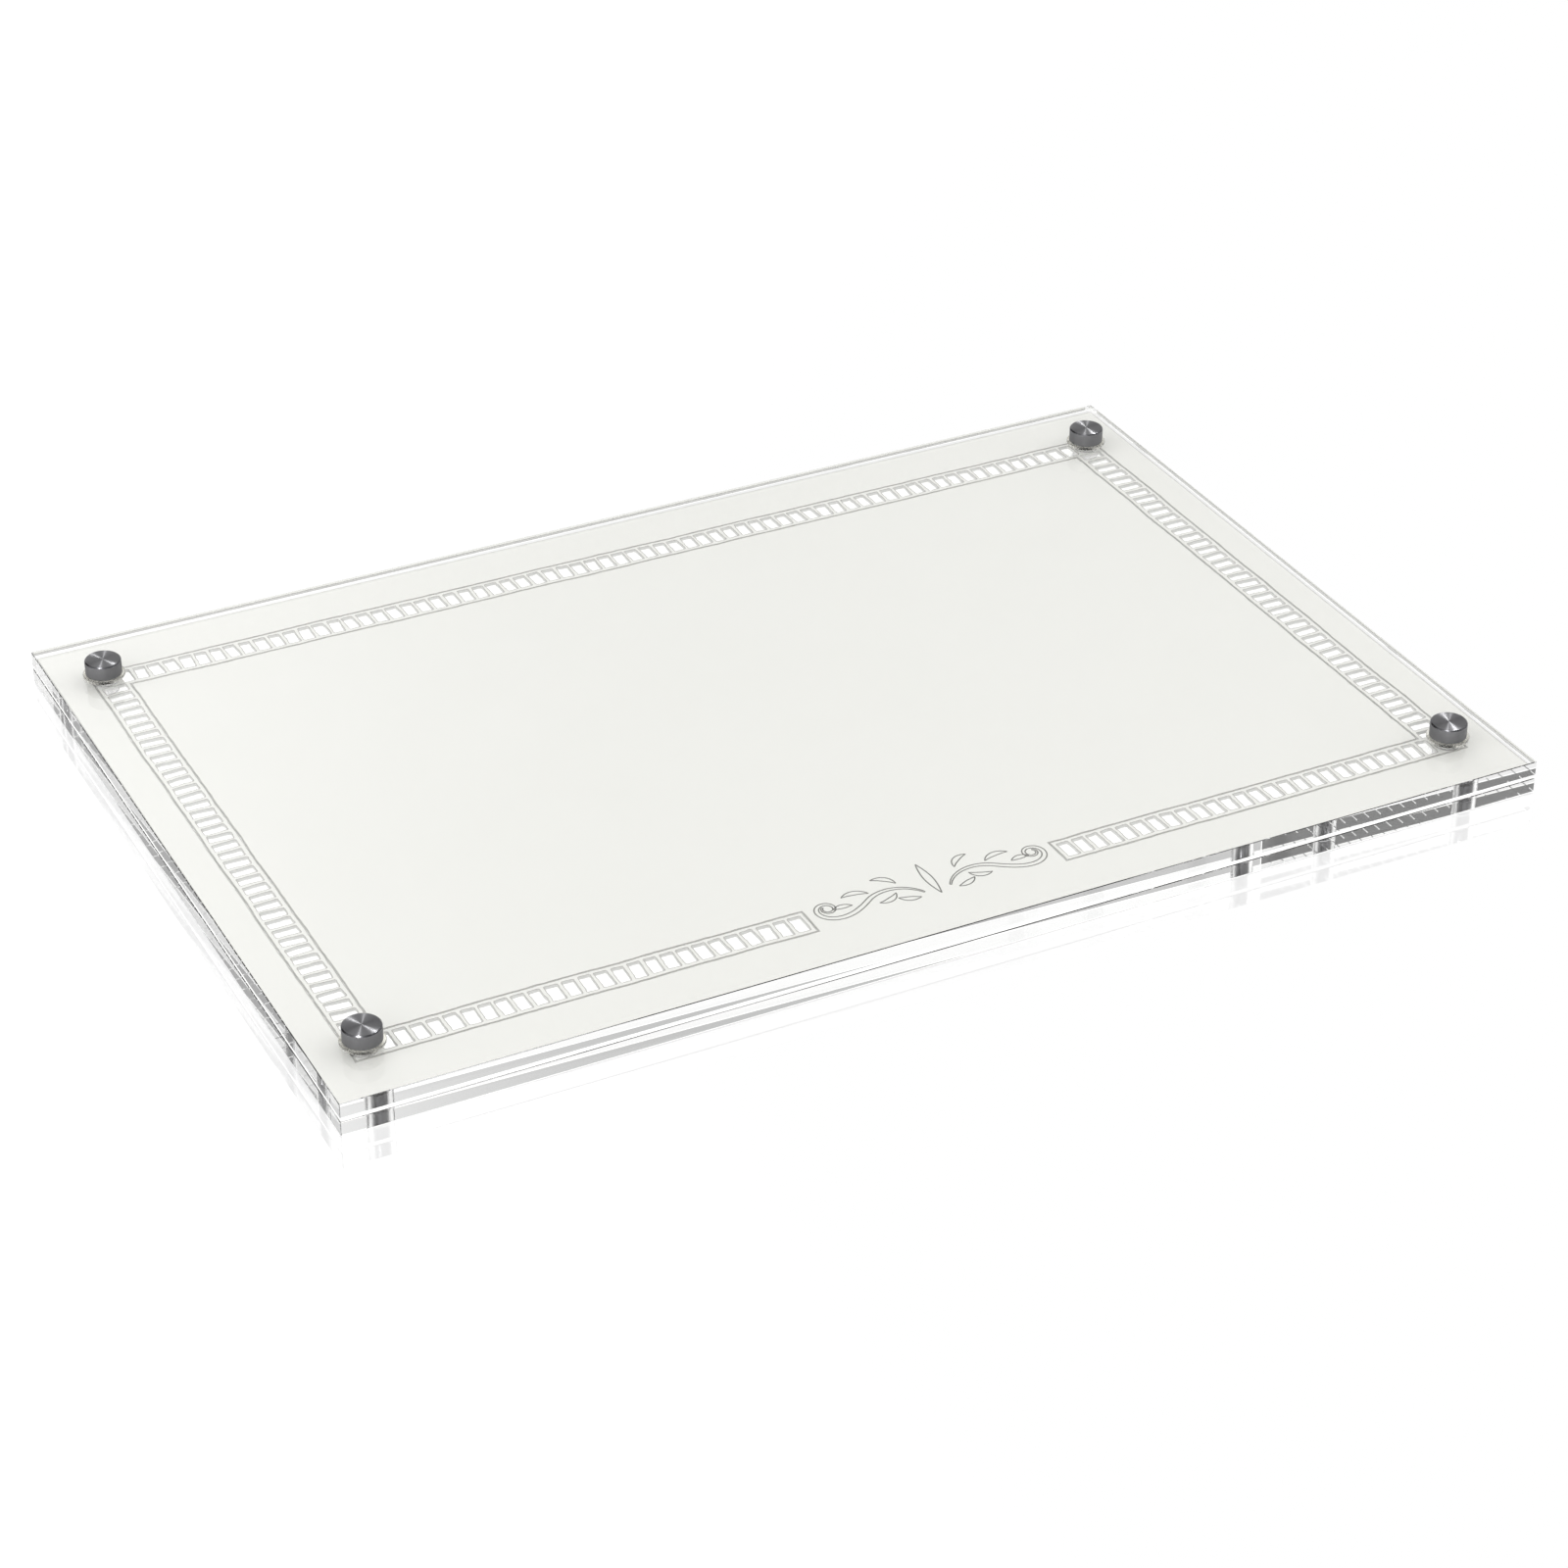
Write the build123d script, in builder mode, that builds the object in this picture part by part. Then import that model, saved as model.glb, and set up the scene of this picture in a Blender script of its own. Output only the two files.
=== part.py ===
"""Display tray: two clear acrylic slabs clamp a leatherette sheet, held by four cap screws."""
import os

from build123d import *

# Millimetres. X runs along the long side, Y from front to back, Z up. The origin is
# the middle of the bottom slab's underside, where the tray stands on the table.

# Slabs
tray_length = 406.4
tray_depth = 279.4
slab_thickness = 5.0
slab_edge_break = 0.2

# Leatherette sheet, set back from the edges of the slabs
sheet_thickness = 1.2
sheet_setback_x = 1.3
sheet_setback_y = 1.9

# Places of the four screws, measured in from the edges of the slabs
screw_inset_x = 17.0
screw_inset_y = 25.0

# Ladder strip: a band cut free of the sheet, which passes under all four screws. Their
# holes leave a rim on its long sides and break out through its outer edge on the short ones.
strip_width = 10.6
strip_rim_y = 0.25
strip_breakout_x = 0.45
strip_gap = 86.0
slot_width = 0.6
window_length = 8.0
window_width = 4.1
narrowest_rung = 1.1
strip_end_rail = 1.3
corner_web = 0.8

# Cap screws
cap_diameter = 12.0
cap_height = 5.0
cap_edge_break = 0.35
cap_roof = 1.4
stud_diameter = 4.9
stud_end_gap = 2.0
washer_diameter = 13.8
washer_thickness = 1.0
sleeve_diameter = 8.6
sleeve_bottom_recess = 0.2
sleeve_top_recess = 0.4

# Clearances, each per side
stud_running_clearance = 0.05
stud_seat_film = 0.02
washer_clearance = 0.25
sleeve_clearance = 0.15
sleeve_glue_film = 0.03

# Levels, from the table upwards
sheet_bottom = slab_thickness
top_slab_bottom = sheet_bottom + sheet_thickness
tray_top = top_slab_bottom + slab_thickness
cap_bottom = tray_top + washer_thickness

# Lines that several pieces share
screw_x = tray_length / 2 - screw_inset_x
screw_y = tray_depth / 2 - screw_inset_y
passing_hole_radius = sleeve_diameter / 2 + sleeve_clearance
glued_hole_radius = sleeve_diameter / 2 + sleeve_glue_film
stud_radius = stud_diameter / 2
strip_x = screw_x + passing_hole_radius - strip_breakout_x - strip_width / 2
strip_y = screw_y + passing_hole_radius + strip_rim_y - strip_width / 2

screws = {
    "front_left": (-screw_x, -screw_y),
    "front_right": (screw_x, -screw_y),
    "back_left": (-screw_x, screw_y),
    "back_right": (screw_x, screw_y),
}


def save(piece, name):
    """Label a finished piece and write it as its own STEP file."""
    piece.part.label = name
    export_step(piece.part, f"parts/{name}.step")


def window_row(start, end):
    """Count and pitch of a row of ladder windows that fills the run between two ends."""
    count = int((end - start + narrowest_rung) / (window_width + narrowest_rung))
    return count, (end - start - window_width) / (count - 1)


def strip_outline(growth):
    """Draw the C-shaped band that follows the screws, wider by growth on every side."""
    half_width = strip_width / 2 + growth
    with BuildSketch() as outline:
        Rectangle(2 * (strip_x + half_width), 2 * (strip_y + half_width))
        Rectangle(2 * (strip_x - half_width), 2 * (strip_y - half_width), mode=Mode.SUBTRACT)
        with Locations((0, -strip_y)):
            Rectangle(strip_gap - 2 * growth, 4 * half_width, mode=Mode.SUBTRACT)
    return outline.sketch


os.makedirs("parts", exist_ok=True)

# Bottom slab: stands on the table, and the sleeves are glued into its holes.
with BuildPart() as bottom_slab:
    with BuildSketch(Plane.XY):
        Rectangle(tray_length, tray_depth)
        with GridLocations(2 * screw_x, 2 * screw_y, 2, 2):
            Circle(glued_hole_radius, mode=Mode.SUBTRACT)
    extrude(amount=slab_thickness)
    chamfer(bottom_slab.edges().filter_by(GeomType.LINE), length=slab_edge_break)
save(bottom_slab, "bottom_slab")

# Top slab: drops over the sleeves and is clamped by the caps.
with BuildPart() as top_slab:
    with BuildSketch(Plane.XY.offset(top_slab_bottom)):
        Rectangle(tray_length, tray_depth)
        with GridLocations(2 * screw_x, 2 * screw_y, 2, 2):
            Circle(passing_hole_radius, mode=Mode.SUBTRACT)
    extrude(amount=slab_thickness)
    chamfer(top_slab.edges().filter_by(GeomType.LINE), length=slab_edge_break)
save(top_slab, "top_slab")

# Leatherette panel: border and centre, one piece through the bridge at the middle of the front.
with BuildPart() as leatherette_panel:
    with BuildSketch(Plane.XY.offset(sheet_bottom)):
        Rectangle(tray_length - 2 * sheet_setback_x, tray_depth - 2 * sheet_setback_y)
        add(strip_outline(slot_width), mode=Mode.SUBTRACT)
        with GridLocations(2 * screw_x, 2 * screw_y, 2, 2):
            Circle(passing_hole_radius, mode=Mode.SUBTRACT)
    extrude(amount=sheet_thickness)
save(leatherette_panel, "leatherette_panel")

# Ladder strip: rungs and rails left standing between rows of cut-out windows. The rows at
# the front and back run up to the screw holes, and those at the sides stop short of them.
front_start = strip_gap / 2 + strip_end_rail
row_end = screw_x - passing_hole_radius - corner_web
side_end = strip_y - window_length / 2 - corner_web
side_windows, side_pitch = window_row(-side_end, side_end)
back_windows, back_pitch = window_row(-row_end, row_end)
front_windows, front_pitch = window_row(front_start, row_end)
front_middle = (front_start + row_end) / 2
with BuildPart() as ladder_strip:
    with BuildSketch(Plane.XY.offset(sheet_bottom)):
        add(strip_outline(0))
        with GridLocations(2 * screw_x, 2 * screw_y, 2, 2):
            Circle(passing_hole_radius, mode=Mode.SUBTRACT)
        for side in (-1, 1):
            with Locations((side * strip_x, 0)):
                with GridLocations(window_width, side_pitch, 1, side_windows):
                    Rectangle(window_length, window_width, mode=Mode.SUBTRACT)
            with Locations((side * front_middle, -strip_y)):
                with GridLocations(front_pitch, window_width, front_windows, 1):
                    Rectangle(window_width, window_length, mode=Mode.SUBTRACT)
        with Locations((0, strip_y)):
            with GridLocations(back_pitch, window_width, back_windows, 1):
                Rectangle(window_width, window_length, mode=Mode.SUBTRACT)
    extrude(amount=sheet_thickness)
save(ladder_strip, "ladder_strip")

# Cap screws: a sleeve glued into the bottom slab, a stud that screws into it, a cap on
# the stud and a clear washer between the cap and the top slab.
for corner, place in screws.items():
    with BuildPart() as sleeve:
        with BuildSketch(Plane.XY.offset(sleeve_bottom_recess)):
            with Locations(place):
                Circle(sleeve_diameter / 2)
                Circle(stud_radius + stud_running_clearance, mode=Mode.SUBTRACT)
        extrude(amount=tray_top - sleeve_top_recess - sleeve_bottom_recess)
    save(sleeve, f"{corner}_sleeve")

    with BuildPart() as stud:
        with BuildSketch(Plane.XY.offset(stud_end_gap)):
            with Locations(place):
                Circle(stud_radius)
        extrude(amount=cap_bottom + cap_height - cap_roof - stud_end_gap)
    save(stud, f"{corner}_stud")

    with BuildPart() as washer:
        with BuildSketch(Plane.XY.offset(tray_top)):
            with Locations(place):
                Circle(washer_diameter / 2)
                Circle(stud_radius + washer_clearance, mode=Mode.SUBTRACT)
        extrude(amount=washer_thickness)
    save(washer, f"{corner}_washer")

    with BuildPart() as cap:
        with BuildSketch(Plane.XY.offset(cap_bottom)):
            with Locations(place):
                Circle(cap_diameter / 2)
        extrude(amount=cap_height)
        chamfer(cap.edges().sort_by(Axis.Z)[-1], length=cap_edge_break)
        with BuildSketch(Plane.XY.offset(cap_bottom)):
            with Locations(place):
                Circle(stud_radius + stud_seat_film)
        extrude(amount=cap_height - cap_roof, mode=Mode.SUBTRACT)
    save(cap, f"{corner}_cap")
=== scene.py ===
"""Looks of the display tray: two acrylic slabs, a cut leatherette sheet and four cap screws."""
import math

import bmesh
import bpy
from mathutils import Matrix, Vector


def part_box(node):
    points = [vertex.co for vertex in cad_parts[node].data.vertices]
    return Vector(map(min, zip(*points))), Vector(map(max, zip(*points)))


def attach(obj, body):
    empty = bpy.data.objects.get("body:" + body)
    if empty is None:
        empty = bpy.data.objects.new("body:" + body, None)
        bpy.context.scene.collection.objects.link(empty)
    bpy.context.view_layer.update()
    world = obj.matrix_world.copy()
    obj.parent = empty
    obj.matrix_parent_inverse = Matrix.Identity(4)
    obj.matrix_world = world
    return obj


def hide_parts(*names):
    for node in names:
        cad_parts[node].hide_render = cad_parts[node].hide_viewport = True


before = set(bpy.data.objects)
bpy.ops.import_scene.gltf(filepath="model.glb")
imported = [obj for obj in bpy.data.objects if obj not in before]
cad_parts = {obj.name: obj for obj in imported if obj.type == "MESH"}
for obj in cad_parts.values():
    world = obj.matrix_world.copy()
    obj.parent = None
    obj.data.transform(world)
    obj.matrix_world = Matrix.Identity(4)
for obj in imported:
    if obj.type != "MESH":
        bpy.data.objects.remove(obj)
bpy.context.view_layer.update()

# ---------------------------------------------------------------- camera
# A long lens from the front left, looking down at about 32 degrees. All lengths in this
# file are metres, written as millimetres times mm.
mm = 0.001
scene = bpy.context.scene
camera_data = bpy.data.cameras.new("camera")
camera = bpy.data.objects.new("camera", camera_data)
scene.collection.objects.link(camera)
scene.camera = camera
camera_data.sensor_width = 36.0
camera_data.lens = 92.46
camera_data.clip_end = 50.0
camera_yaw = math.radians(26.748)
camera_pitch = math.radians(32.168)
camera_roll = math.radians(0.138)
camera_place = Vector((-498.955 * mm, -1001.875 * mm, 685.115 * mm))
camera_turn = (
    Matrix.Rotation(-camera_yaw, 4, "Z")
    @ Matrix.Rotation(math.pi / 2 - camera_pitch, 4, "X")
    @ Matrix.Rotation(camera_roll, 4, "Z")
)
camera.matrix_world = Matrix.Translation(camera_place) @ camera_turn


# ---------------------------------------------------------------- studio
# A white sweep lit softly from all round, with darker parts of the room behind on both sides
# and in front on the right, and two small lamps that glint on the turned caps and sleeves.
def new_tree(owner):
    """Empty an owner's node tree and return it with a function that adds wired nodes."""
    owner.use_nodes = True
    tree = owner.node_tree
    tree.nodes.clear()
    return tree, node_maker(tree)


def node_maker(tree):
    """A function that adds a node, sets its properties and wires or sets its inputs."""

    def add(kind, inputs=None, **settings):
        node = tree.nodes.new(kind)
        for name, value in settings.items():
            setattr(node, name, value)
        for key, value in (inputs or {}).items():
            socket = node.inputs[key]
            if isinstance(value, bpy.types.NodeSocket):
                tree.links.new(value, socket)
            else:
                socket.default_value = value
        return node

    return add


def grey(level):
    """An opaque grey of one linear level."""
    return (level, level, level, 1.0)


world = bpy.data.worlds.new("studio")
scene.world = world
world_tree, add = new_tree(world)
room_direction = add("ShaderNodeTexCoord").outputs["Generated"]


def room_patch(light, direction, inner, outer, level):
    """Change the room's light to a level inside a cone about a direction, with a soft rim."""
    facing = add(
        "ShaderNodeVectorMath",
        {0: room_direction, 1: Vector(direction).normalized()},
        operation="DOT_PRODUCT",
    )
    rim = add(
        "ShaderNodeMapRange",
        {
            "Value": facing.outputs["Value"],
            "From Min": math.cos(math.radians(outer)),
            "From Max": math.cos(math.radians(inner)),
        },
        interpolation_type="SMOOTHSTEP",
    )
    mixed = add("ShaderNodeMix", {"Factor": rim.outputs["Result"]}, data_type="RGBA")
    # The colour sockets of a Mix node come after its number and vector sockets.
    world_tree.links.new(light, mixed.inputs[6])
    mixed.inputs[7].default_value = grey(level)
    return mixed.outputs[2]


room_light = add("ShaderNodeRGB")
room_light.outputs[0].default_value = grey(1.26)
room_light = room_light.outputs[0]
room_light = room_patch(room_light, (-0.47, 0.69, 0.50), 14, 30, 0.16)
room_light = room_patch(room_light, (0.26, -0.76, 0.50), 14, 30, 0.36)
room_light = room_patch(room_light, (0.643, 0.766, 0.62), 12, 24, 0.55)
seen = add("ShaderNodeLightPath").outputs["Is Camera Ray"]
seen_light = add("ShaderNodeMix", {"Factor": seen}, data_type="RGBA")
world_tree.links.new(room_light, seen_light.inputs[6])
seen_light.inputs[7].default_value = grey(1.02)
background = add("ShaderNodeBackground", {"Color": seen_light.outputs[2], "Strength": 1.0})
add("ShaderNodeOutputWorld", {"Surface": background.outputs[0]})

glinting = bpy.data.collections.new("glinting_pieces")
for name, direction, power, width in (
    ("front_lamp", (-0.446, -0.459, 0.768), 3.6, 1.0),
    ("back_lamp", (0.465, 0.352, 0.812), 1.3, 1.0),
):
    lamp_data = bpy.data.lights.new(name, "SUN")
    lamp_data.energy = power
    lamp_data.angle = math.radians(width)
    lamp = bpy.data.objects.new(name, lamp_data)
    scene.collection.objects.link(lamp)
    lamp.light_linking.receiver_collection = glinting
    lamp.matrix_world = Vector(direction).to_track_quat("Z", "Y").to_matrix().to_4x4()

scene.view_settings.view_transform = "Standard"
scene.cycles.max_bounces = 64
scene.cycles.diffuse_bounces = 4
scene.cycles.glossy_bounces = 64
scene.cycles.transmission_bounces = 64
scene.cycles.transparent_max_bounces = 32
scene.cycles.caustics_reflective = False
scene.cycles.caustics_refractive = False

# ---------------------------------------------------------------- table
# A glossy white table top, a hair below the tray. It glows a little, as a white sweep that
# is lit from below does, and more under the tray as painted light, which fills the tray's shade
# where the clear windows let the table show.
table_half = 6.0
table_drop = 0.15 * mm
slab_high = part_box("bottom_slab")[1]
half_length = slab_high.x
half_depth = slab_high.y
# How far in from the tray's edges the painted light under the tray fades in.
painted_light_fade_outer = 0.5 * mm
painted_light_fade_inner = 3.0 * mm


def mesh_piece(name, vertices, faces, material):
    """Make a mesh object at the origin from points and faces."""
    mesh = bpy.data.meshes.new(name)
    mesh.from_pydata(vertices, [], faces)
    mesh.materials.append(material)
    piece = bpy.data.objects.new(name, mesh)
    scene.collection.objects.link(piece)
    return piece


table_white = bpy.data.materials.new("table_white")
tree, add = new_tree(table_white)
place = add("ShaderNodeSeparateXYZ", {0: add("ShaderNodeTexCoord").outputs["Object"]})
inside = []
for axis, half in (("X", half_length), ("Y", half_depth)):
    distance = add("ShaderNodeMath", {0: place.outputs[axis]}, operation="ABSOLUTE")
    within = add(
        "ShaderNodeMapRange",
        {
            "Value": distance.outputs[0],
            "From Min": half - painted_light_fade_outer,
            "From Max": half - painted_light_fade_inner,
            "To Min": 0.0,
            "To Max": 1.0,
        },
    )
    inside.append(within.outputs["Result"])
# Mask of the tray's footprint: there the glow rises from 1.15 to 1.5, painted light that fills the
# tray's shade.
painted_light_mask = add("ShaderNodeMath", {0: inside[0], 1: inside[1]}, operation="MULTIPLY")
glow_and_painted_light = add(
    "ShaderNodeMapRange",
    {"Value": painted_light_mask.outputs[0], "To Min": 1.15, "To Max": 1.5},
)
emission = add("ShaderNodeEmission", {"Color": grey(1.0), "Strength": glow_and_painted_light.outputs["Result"]})
diffuse = add("ShaderNodeBsdfDiffuse", {"Color": grey(0.12)})
matt = add("ShaderNodeAddShader", {0: emission.outputs[0], 1: diffuse.outputs[0]})
mirror = add("ShaderNodeBsdfGlossy", {"Color": grey(1.0), "Roughness": 0.03})
surface = add("ShaderNodeMixShader", {0: 0.38, 1: matt.outputs[0], 2: mirror.outputs[0]})
add("ShaderNodeOutputMaterial", {"Surface": surface.outputs[0]})
table = mesh_piece(
    "table",
    [
        (-table_half, -table_half, -table_drop),
        (table_half, -table_half, -table_drop),
        (table_half, table_half, -table_drop),
        (-table_half, table_half, -table_drop),
    ],
    [(0, 1, 2, 3)],
    table_white,
)


# ---------------------------------------------------------------- the two acrylic slabs
# Cast acrylic sheet, sawn and polished on all its edges, drilled for the screws. The packed
# solids are the real shape, so they stay. The drill leaves the walls of the holes frosted, and
# their dark grey colour is painted shade inside the holes.
def surface_noise():
    """Node group: faint uneven tone over a surface, as a mask from 0 to 1."""
    group = bpy.data.node_groups.new("surface_noise", "ShaderNodeTree")
    group.interface.new_socket("Scale", in_out="INPUT", socket_type="NodeSocketFloat")
    group.interface.new_socket("Detail", in_out="INPUT", socket_type="NodeSocketFloat")
    group.interface.new_socket("Mask", in_out="OUTPUT", socket_type="NodeSocketFloat")
    add = node_maker(group)
    inputs = add("NodeGroupInput").outputs
    noise = add(
        "ShaderNodeTexNoise",
        {
            "Vector": add("ShaderNodeTexCoord").outputs["Object"],
            "Scale": inputs["Scale"],
            "Detail": inputs["Detail"],
        },
    )
    add("NodeGroupOutput", {"Mask": noise.outputs["Fac"]})
    return group


noise_group = surface_noise()


def between(add, mask, low, high):
    """Map a mask from 0 to 1 onto a range of numbers."""
    ranged = add("ShaderNodeMapRange", {"Value": mask, "To Min": low, "To Max": high})
    return ranged.outputs["Result"]


def tone(add, tree, mask, dark, light):
    """Mix two colours by a mask."""
    mixed = add("ShaderNodeMix", {"Factor": mask}, data_type="RGBA")
    mixed.inputs[6].default_value = dark
    mixed.inputs[7].default_value = light
    return mixed.outputs[2]


def centre_of(node):
    """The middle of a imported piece's box."""
    low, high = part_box(node)
    return (low + high) / 2


def drilled_walls(add):
    """A mask of the walls of the four drilled holes, frosted and painted with shade, by distance
    from their axes.
    """
    place = add("ShaderNodeTexCoord").outputs["Object"]
    mirrored = add("ShaderNodeVectorMath", {0: place}, operation="ABSOLUTE")
    level = add("ShaderNodeVectorMath", {0: mirrored.outputs[0], 1: (1, 1, 0)}, operation="MULTIPLY")
    reach = add(
        "ShaderNodeVectorMath",
        {0: level.outputs[0], 1: (hole_axis.x, hole_axis.y, 0)},
        operation="DISTANCE",
    )
    near = add(
        "ShaderNodeMath",
        {0: reach.outputs["Value"], 1: drilled_reach},
        operation="LESS_THAN",
    )
    return near.outputs[0]


def clear_plastic(name, ior, dark, light, rough, mottle, drilled=False):
    """A clear plastic that lets soft light and shadows through without caustics."""
    material = bpy.data.materials.new(name)
    tree, add = new_tree(material)
    cloud = add("ShaderNodeGroup", {}, node_tree=noise_group)
    cloud.inputs["Scale"].default_value = mottle
    cloud.inputs["Detail"].default_value = 3.0
    mask = cloud.outputs["Mask"]
    colour = tone(add, tree, mask, dark, light)
    roughness = between(add, mask, 0.0, rough)
    if drilled:
        # The drilled walls are frosted and get a dark grey colour, painted shade inside the holes.
        frost_and_shade = drilled_walls(add)
        painted_shade_walls = add("ShaderNodeMix", {"Factor": frost_and_shade}, data_type="RGBA")
        tree.links.new(colour, painted_shade_walls.inputs[6])
        painted_shade_walls.inputs[7].default_value = hole_painted_shade_colour
        colour = painted_shade_walls.outputs[2]
        haze = add(
            "ShaderNodeMath", {0: frost_and_shade, 1: frost_roughness, 2: roughness}, operation="MULTIPLY_ADD"
        )
        roughness = haze.outputs[0]
    shader = add(
        "ShaderNodeBsdfPrincipled",
        {
            "Base Color": colour,
            "Roughness": roughness,
            "IOR": ior,
            "Transmission Weight": 1.0,
        },
    )
    path = add("ShaderNodeLightPath")
    passes = add(
        "ShaderNodeMath",
        {0: path.outputs["Is Shadow Ray"], 1: path.outputs["Is Diffuse Ray"]},
        operation="MAXIMUM",
    )
    through = add("ShaderNodeBsdfTransparent", {"Color": grey(0.97)})
    mixed = add(
        "ShaderNodeMixShader",
        {0: passes.outputs[0], 1: shader.outputs[0], 2: through.outputs[0]},
    )
    add("ShaderNodeOutputMaterial", {"Surface": mixed.outputs[0]})
    return material


hole_axis = centre_of("back_right_sleeve")
hole_radius = 4.45 * mm
drilled_reach = hole_radius + 0.05 * mm
# Dark grey painted shade on the walls of the drilled holes.
hole_painted_shade_colour = (0.30, 0.30, 0.31, 1)
frost_roughness = 0.35
clear_acrylic = clear_plastic(
    "clear_acrylic", 1.49, (0.985, 0.988, 0.98, 1), (0.998, 0.998, 0.995, 1), 0.002, 14.0, True
)
for node in ("bottom_slab", "top_slab"):
    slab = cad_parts[node]
    slab.data.materials.clear()
    slab.data.materials.append(clear_acrylic)


# ---------------------------------------------------------------- leatherette
# White leatherette on a stiff white backing, 1.2 mm in all, cut on a laser plotter. The face
# has a fine pebble grain, and a thin grey bead runs along every cut: partly the laser's scorch,
# partly painted shade of the cut's walls.
air_gap = 0.04 * mm
sheet_low = slab_high.z
sheet_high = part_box("top_slab")[0].z
strip_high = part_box("ladder_strip")[1]
strip_width = 10.6 * mm
slot_width = 0.6 * mm
strip_gap = 86.0 * mm
window_length = 8.0 * mm
window_width = 4.1 * mm
wave_size = 0.55 * mm
bead_width = 0.22 * mm
engraved_width = 0.42 * mm
cut_seed = 7


def leather_grain():
    """Node group: a fine pebble grain, as a height, and a mask of its hollows."""
    group = bpy.data.node_groups.new("leather_grain", "ShaderNodeTree")
    group.interface.new_socket("Pebbles", in_out="INPUT", socket_type="NodeSocketFloat")
    group.interface.new_socket("Height", in_out="OUTPUT", socket_type="NodeSocketFloat")
    group.interface.new_socket("Hollows", in_out="OUTPUT", socket_type="NodeSocketFloat")
    add = node_maker(group)
    size = add("NodeGroupInput").outputs["Pebbles"]
    place = add("ShaderNodeTexCoord").outputs["Object"]
    warp = add("ShaderNodeTexNoise", {"Vector": place, "Scale": 900.0, "Detail": 2.0})
    moved = add(
        "ShaderNodeVectorMath",
        {0: warp.outputs["Color"], 1: place, "Scale": 0.0006},
        operation="SCALE",
    )
    moved = add(
        "ShaderNodeVectorMath", {0: place, 1: moved.outputs["Vector"]}, operation="ADD"
    )
    cells = add(
        "ShaderNodeTexVoronoi",
        {"Vector": moved.outputs["Vector"], "Scale": size},
        feature="SMOOTH_F1",
    )
    add(
        "NodeGroupOutput",
        {
            "Height": add(
                "ShaderNodeMath", {0: 1.0, 1: cells.outputs["Distance"]}, operation="SUBTRACT"
            ).outputs[0],
            "Hollows": cells.outputs["Distance"],
        },
    )
    return group


grain_group = leather_grain()


def leather_material(name, dark, light, rough_low, rough_high, bump):
    """A grained leatherette, or its smoother cut edge."""
    material = bpy.data.materials.new(name)
    tree, add = new_tree(material)
    grain = add("ShaderNodeGroup", {}, node_tree=grain_group)
    grain.inputs["Pebbles"].default_value = 1500.0
    cloud = add("ShaderNodeGroup", {}, node_tree=noise_group)
    cloud.inputs["Scale"].default_value = 30.0
    cloud.inputs["Detail"].default_value = 4.0
    both = add(
        "ShaderNodeMath",
        {0: grain.outputs["Hollows"], 1: cloud.outputs["Mask"]},
        operation="MULTIPLY",
    )
    relief = add(
        "ShaderNodeBump",
        {"Height": grain.outputs["Height"], "Strength": bump, "Distance": 0.00005},
    )
    shader = add(
        "ShaderNodeBsdfPrincipled",
        {
            "Base Color": tone(add, tree, both.outputs[0], light, dark),
            "Roughness": between(add, grain.outputs["Hollows"], rough_low, rough_high),
            "Normal": relief.outputs[0],
            "IOR": 1.45,
            "Specular IOR Level": 0.3,
        },
    )
    add("ShaderNodeOutputMaterial", {"Surface": shader.outputs[0]})
    return material


leatherette = leather_material(
    "leatherette", (0.91, 0.91, 0.865, 1), (0.96, 0.96, 0.92, 1), 0.45, 0.7, 0.25
)
# Grey bead along every cut: partly the laser's scorch, partly painted shade of the cut's walls.
scorch_and_shade_edge = leather_material(
    "scorch_and_shade_edge", (0.36, 0.35, 0.32, 1), (0.54, 0.53, 0.50, 1), 0.5, 0.8, 0.3
)
engraved_line = leather_material(
    "engraved_line", (0.12, 0.12, 0.11, 1), (0.22, 0.22, 0.20, 1), 0.5, 0.8, 0.3
)
white_core = leather_material(
    "white_core", (0.70, 0.70, 0.68, 1), (0.80, 0.80, 0.78, 1), 0.7, 0.9, 0.1
)


def loop_of(points, step):
    """Points of a closed outline, with its long sides divided into short steps."""
    loop = []
    for start, end in zip(points, points[1:] + points[:1]):
        start, end = Vector(start), Vector(end)
        count = max(1, round((end - start).length / step))
        loop += [start.lerp(end, k / count) for k in range(count)]
    return loop


def band_corners(growth):
    """Corner points of the C-shaped band, wider by growth on every side."""
    x_out, y_out = strip_high.x + growth, strip_high.y + growth
    x_in = strip_high.x - strip_width - growth
    y_in = strip_high.y - strip_width - growth
    gap = strip_gap / 2 - growth
    return x_out, y_out, x_in, y_in, gap


def outline_mesh(name, loops):
    """A mesh of edges only, one closed ring for each outline."""
    mesh = bpy.data.meshes.new(name)
    vertices, edges = [], []
    for loop in loops:
        first = len(vertices)
        vertices += [(p.x, p.y, 0.0) for p in loop]
        edges += [(first + k, first + (k + 1) % len(loop)) for k in range(len(loop))]
    mesh.from_pydata(vertices, edges, [])
    piece = bpy.data.objects.new(name, mesh)
    scene.collection.objects.link(piece)
    return piece


def new_geometry_tree(name, inputs):
    """A geometry node tree with named number inputs; returns it with its maker and ends."""
    tree = bpy.data.node_groups.new(name, "GeometryNodeTree")
    tree.interface.new_socket("Geometry", in_out="INPUT", socket_type="NodeSocketGeometry")
    for label, kind in inputs:
        tree.interface.new_socket(label, in_out="INPUT", socket_type=kind)
    tree.interface.new_socket("Geometry", in_out="OUTPUT", socket_type="NodeSocketGeometry")
    add = node_maker(tree)
    return tree, add, add("NodeGroupInput").outputs


def join(tree, add, parts):
    """Join several geometries into one."""
    joined = add("GeometryNodeJoinGeometry")
    for part in parts:
        tree.links.new(part, joined.inputs[0])
    return joined.outputs[0]


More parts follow.
